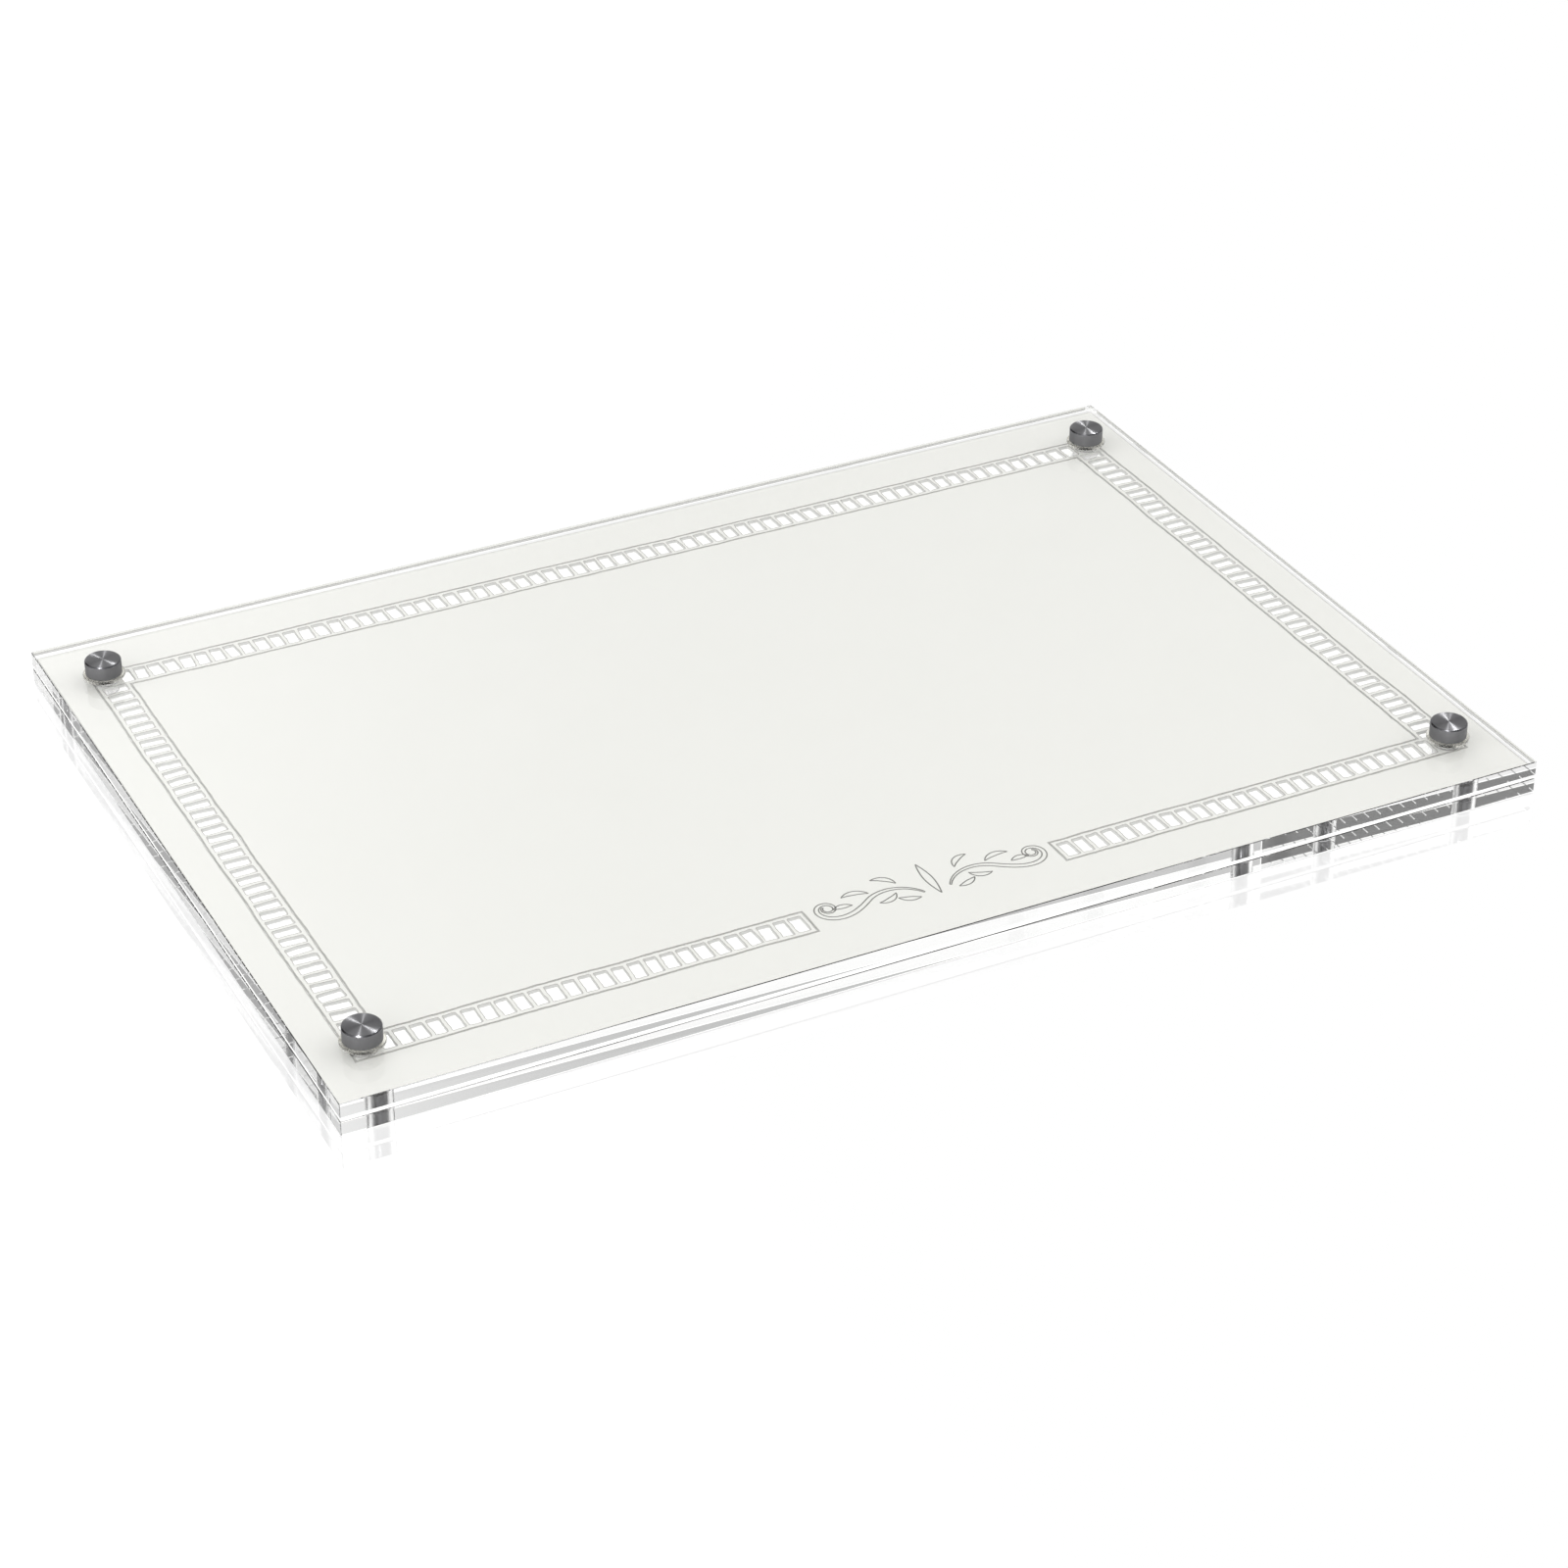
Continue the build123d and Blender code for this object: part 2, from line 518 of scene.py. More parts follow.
def cut_sheet_tree(rows):
    """Geometry nodes that cut a sheet from outlines: rows of windows are added, all lines
    get the slight wander of a hand-drawn pattern, and the fill gets its thickness."""
    tree, add, inputs = new_geometry_tree(
        "cut_sheet",
        [
            ("Window Length", "NodeSocketFloat"),
            ("Window Width", "NodeSocketFloat"),
            ("Corner Radius", "NodeSocketFloat"),
            ("Wander", "NodeSocketFloat"),
            ("Lean", "NodeSocketFloat"),
            ("Underside", "NodeSocketFloat"),
            ("Thickness", "NodeSocketFloat"),
            ("Bead Width", "NodeSocketFloat"),
            ("Bead Height", "NodeSocketFloat"),
            ("Engraved Width", "NodeSocketFloat"),
            ("Seed", "NodeSocketInt"),
            ("Face", "NodeSocketMaterial"),
            ("Bead", "NodeSocketMaterial"),
            ("Engraving", "NodeSocketObject"),
            ("Engraved Line", "NodeSocketMaterial"),
        ],
    )
    outline = add("GeometryNodeMeshToCurve", {"Mesh": inputs["Geometry"]})
    parts = [outline.outputs[0]]
    for number, (start, step, count, turned) in enumerate(rows):
        line = add(
            "GeometryNodeMeshLine",
            {"Count": count, "Start Location": start, "Offset": step},
        )
        window = add(
            "GeometryNodeCurvePrimitiveQuadrilateral",
            {"Width": inputs["Window Width"], "Height": inputs["Window Length"]},
        )
        window = add(
            "GeometryNodeFilletCurve",
            {
                "Curve": window.outputs[0],
                "Count": 2,
                "Radius": inputs["Corner Radius"],
                "Limit Radius": True,
            },
            mode="POLY",
        )
        window = add(
            "GeometryNodeResampleCurve", {"Curve": window.outputs[0], "Count": 48}, mode="COUNT"
        )
        lean_low = add("ShaderNodeMath", {0: inputs["Lean"], 1: -1.0}, operation="MULTIPLY")
        lean = add("FunctionNodeRandomValue", data_type="FLOAT")
        seed = add("ShaderNodeMath", {0: inputs["Seed"], 1: float(number)}, operation="ADD")
        tree.links.new(lean_low.outputs[0], lean.inputs[2])
        tree.links.new(inputs["Lean"], lean.inputs[3])
        tree.links.new(seed.outputs[0], lean.inputs["Seed"])
        angle = add(
            "ShaderNodeMath",
            {0: lean.outputs[1], 1: math.pi / 2 if turned else 0.0},
            operation="ADD",
        )
        rotation = add("ShaderNodeCombineXYZ", {"Z": angle.outputs[0]})
        grow = add("FunctionNodeRandomValue", data_type="FLOAT_VECTOR")
        grow.inputs[0].default_value = (0.95, 0.96, 1.0)
        grow.inputs[1].default_value = (1.06, 1.03, 1.0)
        tree.links.new(seed.outputs[0], grow.inputs["Seed"])
        copies = add(
            "GeometryNodeInstanceOnPoints",
            {
                "Points": line.outputs[0],
                "Instance": window.outputs[0],
                "Rotation": rotation.outputs[0],
                "Scale": grow.outputs[0],
            },
        )
        parts.append(add("GeometryNodeRealizeInstances", {0: copies.outputs[0]}).outputs[0])
    lines = join(tree, add, parts)
    place = add("GeometryNodeInputPosition").outputs[0]
    long_wave = add("ShaderNodeTexNoise", {"Vector": place, "Scale": 45.0, "Detail": 1.0})
    short_wave = add("ShaderNodeTexNoise", {"Vector": place, "Scale": 420.0, "Detail": 1.0})
    waves = []
    for wave, share in ((long_wave, 1.0), (short_wave, 0.55)):
        centred = add(
            "ShaderNodeVectorMath",
            {0: wave.outputs["Color"], 1: (0.5, 0.5, 0.5)},
            operation="SUBTRACT",
        )
        flat = add(
            "ShaderNodeVectorMath",
            {0: centred.outputs[0], 1: (2 * share, 2 * share, 0.0)},
            operation="MULTIPLY",
        )
        waves.append(flat.outputs[0])
    wander = add("ShaderNodeVectorMath", {0: waves[0], 1: waves[1]}, operation="ADD")
    wander = add(
        "ShaderNodeVectorMath", {0: wander.outputs[0], "Scale": inputs["Wander"]}, operation="SCALE"
    )
    lines = add("GeometryNodeSetPosition", {"Geometry": lines, "Offset": wander.outputs[0]})
    fill = add("GeometryNodeFillCurve", {"Curve": lines.outputs[0]}, mode="NGONS")
    low = add("ShaderNodeCombineXYZ", {"Z": inputs["Underside"]})
    fill = add(
        "GeometryNodeSetPosition", {"Geometry": fill.outputs[0], "Offset": low.outputs[0]}
    )
    up = add("ShaderNodeCombineXYZ", {"Z": inputs["Thickness"]})
    raised = add(
        "GeometryNodeExtrudeMesh",
        {"Mesh": fill.outputs[0], "Offset": up.outputs[0], "Offset Scale": 1.0, "Individual": False},
    )
    underside = add("GeometryNodeFlipFaces", {"Mesh": fill.outputs[0]})
    body = join(tree, add, [raised.outputs[0], underside.outputs[0]])
    body = add("GeometryNodeMergeByDistance", {"Geometry": body, "Distance": 1e-6})
    body = add("GeometryNodeRealizeInstances", {0: body.outputs[0]})
    body = add("GeometryNodeSetMaterial", {"Geometry": body.outputs[0], "Material": inputs["Face"]})
    top = add("ShaderNodeMath", {0: inputs["Underside"], 1: inputs["Thickness"]}, operation="ADD")
    to_top = add("ShaderNodeCombineXYZ", {"Z": top.outputs[0]})
    drawing = add("GeometryNodeObjectInfo", {"Object": inputs["Engraving"]})
    drawing = add("GeometryNodeMeshToCurve", {"Mesh": drawing.outputs["Geometry"]})
    parts = [body.outputs[0]]
    for curve, finish, width in (
        (lines, "Bead", "Bead Width"),
        (drawing, "Engraved Line", "Engraved Width"),
    ):
        curve = add("GeometryNodeSetCurveNormal", {"Curve": curve.outputs[0]}, mode="Z_UP")
        section = add(
            "GeometryNodeCurvePrimitiveQuadrilateral",
            {"Width": inputs[width], "Height": inputs["Bead Height"]},
        )
        bead = add(
            "GeometryNodeCurveToMesh",
            {"Curve": curve.outputs[0], "Profile Curve": section.outputs[0]},
        )
        bead = add(
            "GeometryNodeSetPosition", {"Geometry": bead.outputs[0], "Offset": to_top.outputs[0]}
        )
        bead = add(
            "GeometryNodeSetMaterial", {"Geometry": bead.outputs[0], "Material": inputs[finish]}
        )
        parts.append(bead.outputs[0])
    add("NodeGroupOutput", {"Geometry": join(tree, add, parts)})
    return tree


def set_inputs(modifier, values):
    """Set a geometry tree's named inputs through their socket identifiers."""
    for item in modifier.node_group.interface.items_tree:
        if item.in_out == "INPUT" and item.name in values:
            modifier[item.identifier] = values[item.name]


def frozen(source, name):
    """The evaluated shape of an object as a plain mesh piece; the source is removed."""
    graph = bpy.context.evaluated_depsgraph_get()
    mesh = bpy.data.meshes.new_from_object(source.evaluated_get(graph))
    bpy.data.objects.remove(source)
    mesh.name = name
    piece = bpy.data.objects.new(name, mesh)
    scene.collection.objects.link(piece)
    return piece


def cut_sheet(name, loops, rows, engraved=()):
    """Cut one sheet piece from outlines and window rows, and engrave lines on its face."""
    source = outline_mesh(name + "_outline", loops)
    drawing = outline_mesh(name + "_drawing", engraved)
    modifier = source.modifiers.new("cut", "NODES")
    modifier.node_group = cut_sheet_tree(rows)
    set_inputs(
        modifier,
        {
            "Window Length": window_length,
            "Window Width": window_width,
            "Corner Radius": 0.25 * mm,
            "Wander": wave_size,
            "Lean": math.radians(3.5),
            "Underside": sheet_low + air_gap,
            "Thickness": sheet_high - sheet_low - 2 * air_gap,
            "Bead Width": bead_width,
            "Bead Height": 1.2 * air_gap,
            "Engraved Width": engraved_width,
            "Seed": cut_seed,
            "Face": leatherette,
            "Bead": scorch_and_shade_edge,
            "Engraving": drawing,
            "Engraved Line": engraved_line,
        },
    )
    piece = frozen(source, name)
    bpy.data.objects.remove(drawing)
    piece.data.materials.append(white_core)
    face_slot = piece.data.materials.find(leatherette.name)
    core_slot = piece.data.materials.find(white_core.name)
    for face in piece.data.polygons:
        if face.material_index == face_slot and abs(face.normal.z) < 0.5:
            face.material_index = core_slot
    return piece


# ---------------------------------------------------------------- leatherette panel
# The border and the centre are one piece, joined by the bridge at the middle of the front.
# A slot is cut along both sides of the ladder strip that lies in it, and a plain scroll
# ornament is engraved in outline near the front edge.
x_out, y_out, x_in, y_in, gap = band_corners(slot_width)
panel_low, panel_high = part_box("leatherette_panel")
panel_loops = [
    [
        Vector(p)
        for p in (
            (panel_low.x, panel_low.y),
            (panel_high.x, panel_low.y),
            (panel_high.x, panel_high.y),
            (panel_low.x, panel_high.y),
        )
    ],
    loop_of(
        [
            (-gap, -y_out),
            (-x_out, -y_out),
            (-x_out, y_out),
            (x_out, y_out),
            (x_out, -y_out),
            (gap, -y_out),
            (gap, -y_in),
            (x_in, -y_in),
            (x_in, y_in),
            (-x_in, y_in),
            (-x_in, -y_in),
            (-gap, -y_in),
        ],
        2.0 * mm,
    ),
]
flourish_place = Vector((0.0, -110.0)) * mm
flourish_step = 0.7 * mm


def scroll_path(start, heading, bends):
    """Points along a path of bends; each bend's curvature grows from its start to its end."""
    spot = Vector(start)
    points = [spot.copy()]
    for length, bend_start, bend_end in bends:
        count = round(length / flourish_step)
        for k in range(count):
            bend = bend_start + (bend_end - bend_start) * (k / count) ** 1.6
            heading += bend * flourish_step
            spot += flourish_step * Vector((math.cos(heading), math.sin(heading)))
            points.append(spot.copy())
    return points


def tapered_outline(path, side, tip_width, belly_width):
    """The closed outline of a stroke that swells in the middle, on one side of the tray."""
    left, right = [], []
    for k, spot in enumerate(path):
        run = path[min(k + 1, len(path) - 1)] - path[max(k - 1, 0)]
        width = tip_width + (belly_width - tip_width) * math.sin(math.pi * k / (len(path) - 1))
        across = Vector((-run.y, run.x)).normalized() * width / 2
        left.append(spot + across)
        right.append(spot - across)
    return [flourish_place + Vector((side * p.x, p.y)) for p in left + right[::-1]]


flourish = []
for side in (-1, 1):
    scroll = scroll_path(
        (4.5 * mm, -5.5 * mm),
        math.radians(62),
        [(20 * mm, -85.0, -85.0), (38 * mm, 20.0, 620.0)],
    )
    flourish.append(tapered_outline(scroll, side, 0.5 * mm, 1.7 * mm))
    for base, lean, length, bend in (
        ((10.2, 2.6), 78, 8.5, -160.0),
        ((12.6, -2.2), -62, 7.5, 170.0),
        ((6.6, -7.4), -2, 7.0, 100.0),
        ((20.2, 1.4), 46, 9.0, -130.0),
        ((27.5, -2.2), 25, 6.5, -110.0),
    ):
        leaf = scroll_path(Vector(base) * mm, math.radians(lean), [(length * mm, bend, bend)])
        flourish.append(tapered_outline(leaf, side, 0.15 * mm, 2.0 * mm))
flourish.append(
    tapered_outline(
        scroll_path((0, -8 * mm), math.radians(90), [(17 * mm, 0, 0)]), 1, 0.15 * mm, 2.8 * mm
    )
)
panel = cut_sheet("leatherette_sheet", panel_loops, [], flourish)
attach(panel, "tray")
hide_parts("leatherette_panel")

# ---------------------------------------------------------------- ladder strip
# A band of the same leatherette with rungs between its windows. It runs round under the
# screws, whose holes bite into its outer corners, and stops short at the front middle.
x_out, y_out, x_in, y_in, gap = band_corners(0.0)
screw = centre_of("back_right_sleeve")
bite = math.asin(math.sqrt(hole_radius**2 - (x_out - screw.x) ** 2) / hole_radius)


def bitten_corner(side_x, side_y, turn):
    """Points of the arc that a screw hole cuts into an outer corner of the band."""
    steps = 24
    arc = []
    for k in range(steps + 1):
        angle = bite + (2 * math.pi - 2 * bite) * k / steps
        if turn < 0:
            angle = -angle
        arc.append(
            Vector(
                (
                    side_x * (screw.x + hole_radius * math.cos(angle)),
                    screw.y * side_y + hole_radius * math.sin(angle),
                )
            )
        )
    return arc


def straight(points):
    """An open run of points, divided into short steps, without its last point."""
    run = []
    for start, end in zip(points, points[1:]):
        start, end = Vector(start), Vector(end)
        count = max(1, round((end - start).length / (2.0 * mm)))
        run += [start.lerp(end, k / count) for k in range(count)]
    return run


front_left_bite = bitten_corner(-1, -1, -1)
back_left_bite = bitten_corner(-1, 1, -1)
back_right_bite = bitten_corner(1, 1, 1)
front_right_bite = bitten_corner(1, -1, 1)
strip_loop = (
    straight([(-gap, -y_out), (-x_out, -y_out), front_left_bite[0]])
    + front_left_bite
    + straight([front_left_bite[-1], back_left_bite[0]])[1:]
    + back_left_bite
    + straight([back_left_bite[-1], (-x_out, y_out), (x_out, y_out), back_right_bite[0]])[1:]
    + back_right_bite
    + straight([back_right_bite[-1], front_right_bite[0]])[1:]
    + front_right_bite
    + straight(
        [
            front_right_bite[-1],
            (x_out, -y_out),
            (gap, -y_out),
            (gap, -y_in),
            (x_in, -y_in),
            (x_in, y_in),
            (-x_in, y_in),
            (-x_in, -y_in),
            (-gap, -y_in),
            (-gap, -y_out),
        ]
    )[1:]
)
narrowest_rung = 1.1 * mm
end_rail = 1.3 * mm
corner_web = 0.8 * mm
middle_x = strip_high.x - strip_width / 2
middle_y = strip_high.y - strip_width / 2
row_end = screw.x - hole_radius - corner_web
side_end = middle_y - window_length / 2 - corner_web
front_start = gap + end_rail


def row(start, end, line, turned):
    """Start, step, count and turn of the windows that fill a run beside a middle line."""
    count = int((end - start + narrowest_rung) / (window_width + narrowest_rung))
    step = (end - start - window_width) / (count - 1)
    first = start + window_width / 2
    if turned:
        return Vector((line, first, 0)), Vector((0, step, 0)), count, True
    return Vector((first, line, 0)), Vector((step, 0, 0)), count, False


strip = cut_sheet(
    "ladder_border",
    [strip_loop],
    [
        row(-side_end, side_end, -middle_x, True),
        row(-side_end, side_end, middle_x, True),
        row(-row_end, row_end, middle_y, False),
        row(-row_end, -front_start, -middle_y, False),
        row(front_start, row_end, -middle_y, False),
    ],
)
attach(strip, "tray")
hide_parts("ladder_strip")


# ---------------------------------------------------------------- sleeves
# Dark anodised aluminium tubes, turned on a lathe, glued into the bottom slab and passing
# through the top one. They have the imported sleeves' own size, with softened ends.
def turned_lines():
    """Node group: fine lathe lines along Z, as a height."""
    group = bpy.data.node_groups.new("turned_lines", "ShaderNodeTree")
    group.interface.new_socket("Pitch", in_out="INPUT", socket_type="NodeSocketFloat")
    group.interface.new_socket("Along", in_out="INPUT", socket_type="NodeSocketFloat")
    group.interface.new_socket("Height", in_out="OUTPUT", socket_type="NodeSocketFloat")
    add = node_maker(group)
    inputs = add("NodeGroupInput").outputs
    lines = add("ShaderNodeMath", {0: inputs["Along"], 1: inputs["Pitch"]}, operation="DIVIDE")
    noise = add(
        "ShaderNodeTexNoise",
        {"W": lines.outputs[0], "Scale": 1.0, "Detail": 3.0, "Roughness": 0.6},
        noise_dimensions="1D",
    )
    add("NodeGroupOutput", {"Height": noise.outputs["Fac"]})
    return group


lines_group = turned_lines()


def turned_metal(name, dark, light, rough_low, rough_high, pitch, bump, metallic=1.0):
    """Anodised turned metal with lines round the Z axis."""
    material = bpy.data.materials.new(name)
    tree, add = new_tree(material)
    place = add("ShaderNodeSeparateXYZ", {0: add("ShaderNodeTexCoord").outputs["Object"]})
    lines = add("ShaderNodeGroup", {}, node_tree=lines_group)
    lines.inputs["Pitch"].default_value = pitch
    tree.links.new(place.outputs["Z"], lines.inputs["Along"])
    relief = add(
        "ShaderNodeBump",
        {"Height": lines.outputs["Height"], "Strength": bump, "Distance": 0.00002},
    )
    shader = add(
        "ShaderNodeBsdfPrincipled",
        {
            "Base Color": tone(add, tree, lines.outputs["Height"], dark, light),
            "Roughness": between(add, lines.outputs["Height"], rough_low, rough_high),
            "Metallic": metallic,
            "Normal": relief.outputs[0],
        },
    )
    add("ShaderNodeOutputMaterial", {"Surface": shader.outputs[0]})
    return material


sleeve_metal = turned_metal(
    "sleeve_metal", (0.06, 0.06, 0.065, 1), (0.60, 0.60, 0.61, 1), 0.05, 0.16, 0.18 * mm, 0.7
)
sleeve_bore = 2.5 * mm


def lathe_piece(name, profile, segments, material, sharp_turn=math.radians(180)):
    """Turn a closed profile of (radius, height) points about Z. The UV map runs round the
    piece in U and along the profile in V. Corners that turn more than sharp_turn stay crisp."""
    mesh = bpy.data.meshes.new(name)
    work = bmesh.new()
    uv = work.loops.layers.uv.new("UVMap")
    rings = []
    for radius, height in profile:
        if radius < 1e-9:
            rings.append([work.verts.new((0, 0, height))] * segments)
        else:
            ring = []
            for k in range(segments):
                angle = 2 * math.pi * k / segments
                ring.append(
                    work.verts.new((radius * math.cos(angle), radius * math.sin(angle), height))
                )
            rings.append(ring)
    run = [0.0]
    for (r1, z1), (r2, z2) in zip(profile, profile[1:] + profile[:1]):
        run.append(run[-1] + math.hypot(r2 - r1, z2 - z1))
    for i in range(len(profile)):
        low, high = rings[i], rings[(i + 1) % len(rings)]
        for k in range(segments):
            n = (k + 1) % segments
            quad = [(low[k], k, i), (low[n], k + 1, i), (high[n], k + 1, i + 1), (high[k], k, i + 1)]
            corners_here = []
            for item in quad:
                if all(item[0] is not other[0] for other in corners_here):
                    corners_here.append(item)
            if len(corners_here) < 3:
                continue
            face = work.faces.new([item[0] for item in corners_here])
            face.smooth = True
            for loop, item in zip(face.loops, corners_here):
                loop[uv].uv = (item[1] / segments, run[item[2]])
    bmesh.ops.recalc_face_normals(work, faces=work.faces)
    for edge in work.edges:
        if len(edge.link_faces) == 2 and edge.calc_face_angle() > sharp_turn:
            edge.smooth = False
    work.to_mesh(mesh)
    work.free()
    mesh.materials.append(material)
    piece = bpy.data.objects.new(name, mesh)
    scene.collection.objects.link(piece)
    return piece


def rounded(points, radius, steps=4):
    """Round the corners of a closed profile."""
    smooth = []
    count = len(points)
    for i in range(count):
        before, here, after = (Vector(points[(i + d) % count]) for d in (-1, 0, 1))
        start = here + (before - here).normalized() * radius
        end = here + (after - here).normalized() * radius
        for k in range(steps + 1):
            t = k / steps
            spot = start * (1 - t) ** 2 + here * (2 * t * (1 - t)) + end * t**2
            smooth.append((spot.x, spot.y))
    return smooth


corners = ("front_left", "front_right", "back_left", "back_right")
for corner in corners:
    low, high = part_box(f"{corner}_sleeve")
    middle = (low + high) / 2
    sleeve_radius = (high.x - low.x) / 2
    sleeve = lathe_piece(
        f"{corner}_turned_sleeve",
        rounded(
            [
                (sleeve_bore, low.z),
                (sleeve_radius, low.z),
                (sleeve_radius, high.z),
                (sleeve_bore, high.z),
            ],
            0.15 * mm,
            2,
        ),
        96,
        sleeve_metal,
    )
    sleeve.data.transform(Matrix.Translation((middle.x, middle.y, 0)))
    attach(sleeve, "tray")
    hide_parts(f"{corner}_sleeve")
    glinting.objects.link(sleeve)

# ---------------------------------------------------------------- studs
# Blackened steel, threaded M5 with a 0.8 mm pitch along the whole length: the thread is cut
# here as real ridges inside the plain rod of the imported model.
stud_steel = turned_metal(
    "stud_steel", (0.16, 0.16, 0.17, 1), (0.34, 0.34, 0.36, 1), 0.28, 0.5, 0.05 * mm, 0.3
)
thread_pitch = 0.8 * mm
thread_depth = 0.42 * mm


def thread_tree():
    """Geometry nodes that cut a thread into a plain round rod standing on its end."""
    tree, add, inputs = new_geometry_tree(
        "screw_thread",
        [
            ("Crest Radius", "NodeSocketFloat"),
            ("Depth", "NodeSocketFloat"),
            ("Pitch", "NodeSocketFloat"),
            ("Length", "NodeSocketFloat"),
            ("Run-out", "NodeSocketFloat"),
            ("Finish", "NodeSocketMaterial"),
        ],
    )
    rod = add(
        "GeometryNodeMeshCylinder",
        {
            "Vertices": 40,
            "Side Segments": 150,
            "Radius": inputs["Crest Radius"],
            "Depth": inputs["Length"],
        },
        fill_type="TRIANGLE_FAN",
    )
    place = add("GeometryNodeInputPosition").outputs[0]
    parts = add("ShaderNodeSeparateXYZ", {0: place})
    angle = add(
        "ShaderNodeMath", {0: parts.outputs["Y"], 1: parts.outputs["X"]}, operation="ARCTAN2"
    )
    turn = add("ShaderNodeMath", {0: angle.outputs[0], 1: 2 * math.pi}, operation="DIVIDE")
    rise = add("ShaderNodeMath", {0: parts.outputs["Z"], 1: inputs["Pitch"]}, operation="DIVIDE")
    phase = add("ShaderNodeMath", {0: rise.outputs[0], 1: turn.outputs[0]}, operation="SUBTRACT")
    ridge = add("ShaderNodeMath", {0: phase.outputs[0], 1: 0.5}, operation="PINGPONG")
    sharp = add(
        "ShaderNodeMapRange",
        {"Value": ridge.outputs[0], "From Min": 0.06, "From Max": 0.42},
    )
    half = add("ShaderNodeMath", {0: inputs["Length"], 1: 0.5}, operation="MULTIPLY")
    height = add("ShaderNodeMath", {0: parts.outputs["Z"]}, operation="ABSOLUTE")
    to_end = add("ShaderNodeMath", {0: half.outputs[0], 1: height.outputs[0]}, operation="SUBTRACT")
    taper = add(
        "ShaderNodeMapRange",
        {"Value": to_end.outputs[0], "From Min": 0.0, "From Max": inputs["Run-out"]},
    )
    depth = add(
        "ShaderNodeMath", {0: sharp.outputs["Result"], 1: inputs["Depth"]}, operation="MULTIPLY"
    )
    end_cut = add(
        "ShaderNodeMapRange",
        {"Value": taper.outputs["Result"], "To Min": inputs["Depth"], "To Max": 0.0},
    )
    cut = add(
        "ShaderNodeMath", {0: depth.outputs[0], 1: end_cut.outputs["Result"]}, operation="MAXIMUM"
    )
    across = add(
        "ShaderNodeCombineXYZ", {"X": parts.outputs["X"], "Y": parts.outputs["Y"]}
    )
    reach = add("ShaderNodeVectorMath", {0: across.outputs[0]}, operation="LENGTH")
    on_wall = add("ShaderNodeMath", {0: reach.outputs["Value"], 1: 1e-4}, operation="GREATER_THAN")
    inward = add("ShaderNodeVectorMath", {0: across.outputs[0]}, operation="NORMALIZE")
    minus = add("ShaderNodeMath", {0: cut.outputs[0], 1: -1.0}, operation="MULTIPLY")
    shift = add(
        "ShaderNodeVectorMath", {0: inward.outputs[0], "Scale": minus.outputs[0]}, operation="SCALE"
    )
    rod = add(
        "GeometryNodeSetPosition",
        {
            "Geometry": rod.outputs[0],
            "Selection": on_wall.outputs[0],
            "Offset": shift.outputs[0],
        },
    )
    rod = add("GeometryNodeRealizeInstances", {0: rod.outputs[0]})
    rod = add("GeometryNodeSetMaterial", {"Geometry": rod.outputs[0], "Material": inputs["Finish"]})
    add("NodeGroupOutput", {"Geometry": rod.outputs[0]})
    return tree


thread_nodes = thread_tree()
for corner in corners:
    low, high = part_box(f"{corner}_stud")
    middle = (low + high) / 2
    source = outline_mesh("rod_seed", [])
    modifier = source.modifiers.new("thread", "NODES")
    modifier.node_group = thread_nodes
    set_inputs(
        modifier,
        {
            "Crest Radius": (high.x - low.x) / 2,
            "Depth": thread_depth,
            "Pitch": thread_pitch,
            "Length": high.z - low.z - 0.05 * mm,
            "Run-out": 0.5 * mm,
            "Finish": stud_steel,
        },
    )
    stud = frozen(source, f"{corner}_threaded_stud")
    stud.data.transform(Matrix.Translation(middle))
    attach(stud, f"{corner}_screw")
    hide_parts(f"{corner}_stud")


# ---------------------------------------------------------------- washers
# Clear moulded plastic rings with rounded rims and a mottled surface, which keep the caps
# off the acrylic.
washer_plastic = clear_plastic(
    "washer_plastic", 1.47, (0.80, 0.78, 0.68, 1), (0.99, 0.99, 0.97, 1), 0.5, 700.0
)
washer_gap = 0.03 * mm
washer_bore = 2.7 * mm
washer_rim = 0.3 * mm
for corner in corners:
    low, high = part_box(f"{corner}_washer")
    middle = (low + high) / 2
    outer = (high.x - low.x) / 2
    bottom, top = low.z + washer_gap, high.z - washer_gap
    profile = rounded(
        [(washer_bore, bottom), (outer, bottom), (outer, top), (washer_bore, top)], washer_rim
    )
    washer = lathe_piece(f"{corner}_clear_washer", profile, 96, washer_plastic)
    washer.data.transform(Matrix.Translation((middle.x, middle.y, 0)))
    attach(washer, f"{corner}_lift")
    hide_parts(f"{corner}_washer")
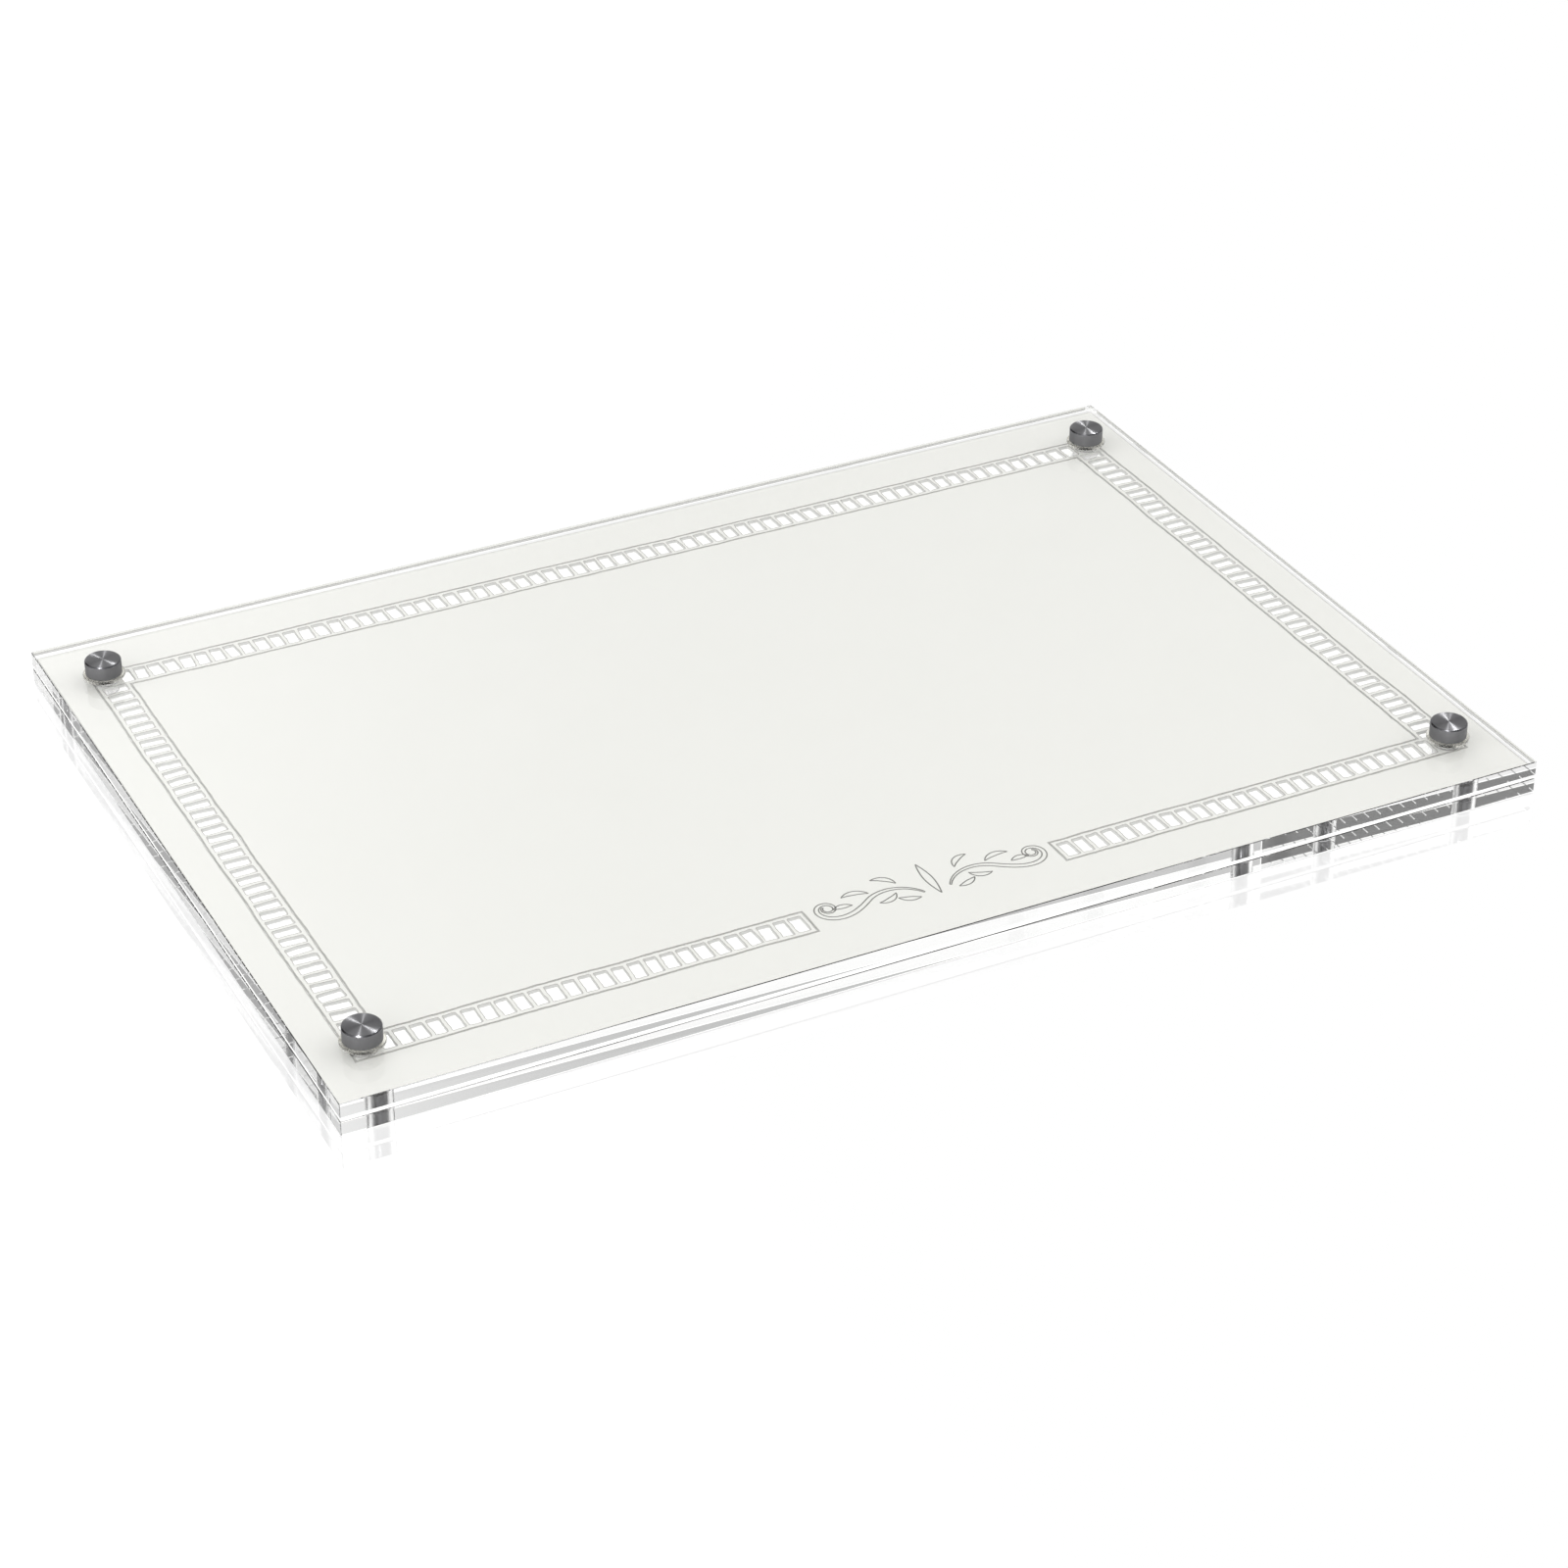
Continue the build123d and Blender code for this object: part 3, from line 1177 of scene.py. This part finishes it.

# ---------------------------------------------------------------- caps
# Gunmetal anodised aluminium caps, faced on a lathe: fine rings on the top catch the lamps
# as narrow bright wedges. The rim has a small polished bevel, coloured darker than the top as
# painted shade, a dark ring under the top, and the side is matt.
cap_metal = bpy.data.materials.new("cap_metal")
tree, add = new_tree(cap_metal)
uv_place = add("ShaderNodeUVMap", uv_map="UVMap").outputs[0]
along = add("ShaderNodeSeparateXYZ", {0: uv_place})
rings = add("ShaderNodeGroup", {}, node_tree=lines_group)
rings.inputs["Pitch"].default_value = 0.06 * mm
tree.links.new(along.outputs["Y"], rings.inputs["Along"])
relief = add(
    "ShaderNodeBump",
    {"Height": rings.outputs["Height"], "Strength": 0.15, "Distance": 0.000004},
)
tangent = add("ShaderNodeTangent", direction_type="UV_MAP", uv_map="UVMap")
shader = add(
    "ShaderNodeBsdfPrincipled",
    {
        "Base Color": tone(
            add, tree, rings.outputs["Height"], (0.10, 0.10, 0.105, 1), (0.21, 0.21, 0.215, 1)
        ),
        "Roughness": between(add, rings.outputs["Height"], 0.34, 0.42),
        "Metallic": 1.0,
        "Anisotropic": 0.98,
        "Anisotropic Rotation": 0.25,
        "Normal": relief.outputs[0],
        "Tangent": tangent.outputs[0],
    },
)
add("ShaderNodeOutputMaterial", {"Surface": shader.outputs[0]})
cap_side_metal = turned_metal(
    "cap_side_metal", (0.15, 0.15, 0.155, 1), (0.25, 0.25, 0.255, 1), 0.5, 0.7, 0.05 * mm, 0.35
)
# The bevel's darker colour is painted shade: a dark ring just under the cap's top.
cap_bevel_painted_shade = turned_metal(
    "cap_bevel_painted_shade", (0.06, 0.06, 0.065, 1), (0.10, 0.10, 0.105, 1), 0.18, 0.26, 0.05 * mm, 0.1
)
bore = 2.47 * mm
roof = 1.4 * mm
bevel = 0.35 * mm
edge = 0.08 * mm
base_gap = 0.02 * mm
for corner in corners:
    low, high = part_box(f"{corner}_cap")
    middle = (low + high) / 2
    radius = (high.x - low.x) / 2
    base = low.z + base_gap
    profile = [
        (bore, base),
        (radius - edge, base),
        (radius, base + edge),
        (radius, high.z - bevel - edge),
        (radius - edge / 3, high.z - bevel),
        (radius - bevel, high.z - edge / 3),
        (radius - bevel - edge, high.z),
        (radius * 0.55, high.z),
        (radius * 0.2, high.z),
        (0.05 * mm, high.z),
        (0.0, high.z),
        (0.0, high.z - roof),
        (bore, high.z - roof),
    ]
    cap = lathe_piece(f"{corner}_turned_cap", profile, 128, cap_metal, math.radians(20))
    cap.data.materials.append(cap_bevel_painted_shade)
    cap.data.materials.append(cap_side_metal)
    for face in cap.data.polygons:
        if face.normal.z < 0.2:
            face.material_index = 2
        elif face.normal.z < 0.98:
            face.material_index = 1
    cap.data.transform(Matrix.Translation((middle.x, middle.y, 0)))
    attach(cap, f"{corner}_screw")
    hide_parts(f"{corner}_cap")
    glinting.objects.link(cap)
